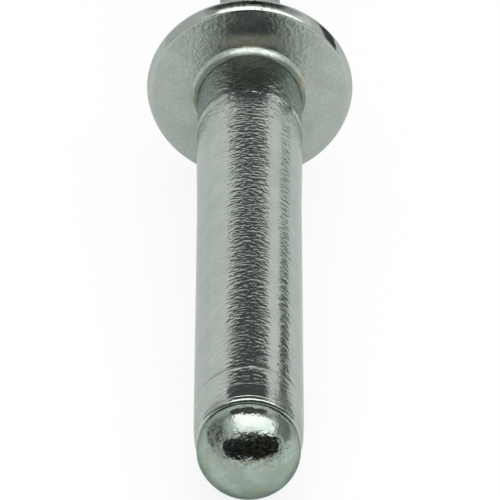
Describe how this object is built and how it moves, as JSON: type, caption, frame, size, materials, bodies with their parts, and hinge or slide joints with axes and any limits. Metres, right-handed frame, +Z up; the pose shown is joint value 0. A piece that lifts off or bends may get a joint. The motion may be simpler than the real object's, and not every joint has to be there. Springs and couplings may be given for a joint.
{
  "type": "pop rivet",
  "caption": "Unset pop rivet: long tubular sleeve with a domed flange, ball-headed mandrel seated on its end, stem standing out of the dome.",
  "frame": {"origin": "middle of the lying part's footprint, on the floor it lies on", "axes": "+Z up, -Y towards the blind end, +Y towards the tip of the stem, X across; the rivet's axis lies in the YZ plane, 5.0 degrees off level"},
  "size_m": [0.0096, 0.0588, 0.0097],
  "materials": {
    "rivet_body": "bright zinc plate with fine drawn rings",
    "mandrel": "zinc plate, mottled on the head"
  },
  "bodies": {
    "root": {"rivet_body": "rivet_body", "mandrel": "mandrel"}
  },
  "joints": []
}
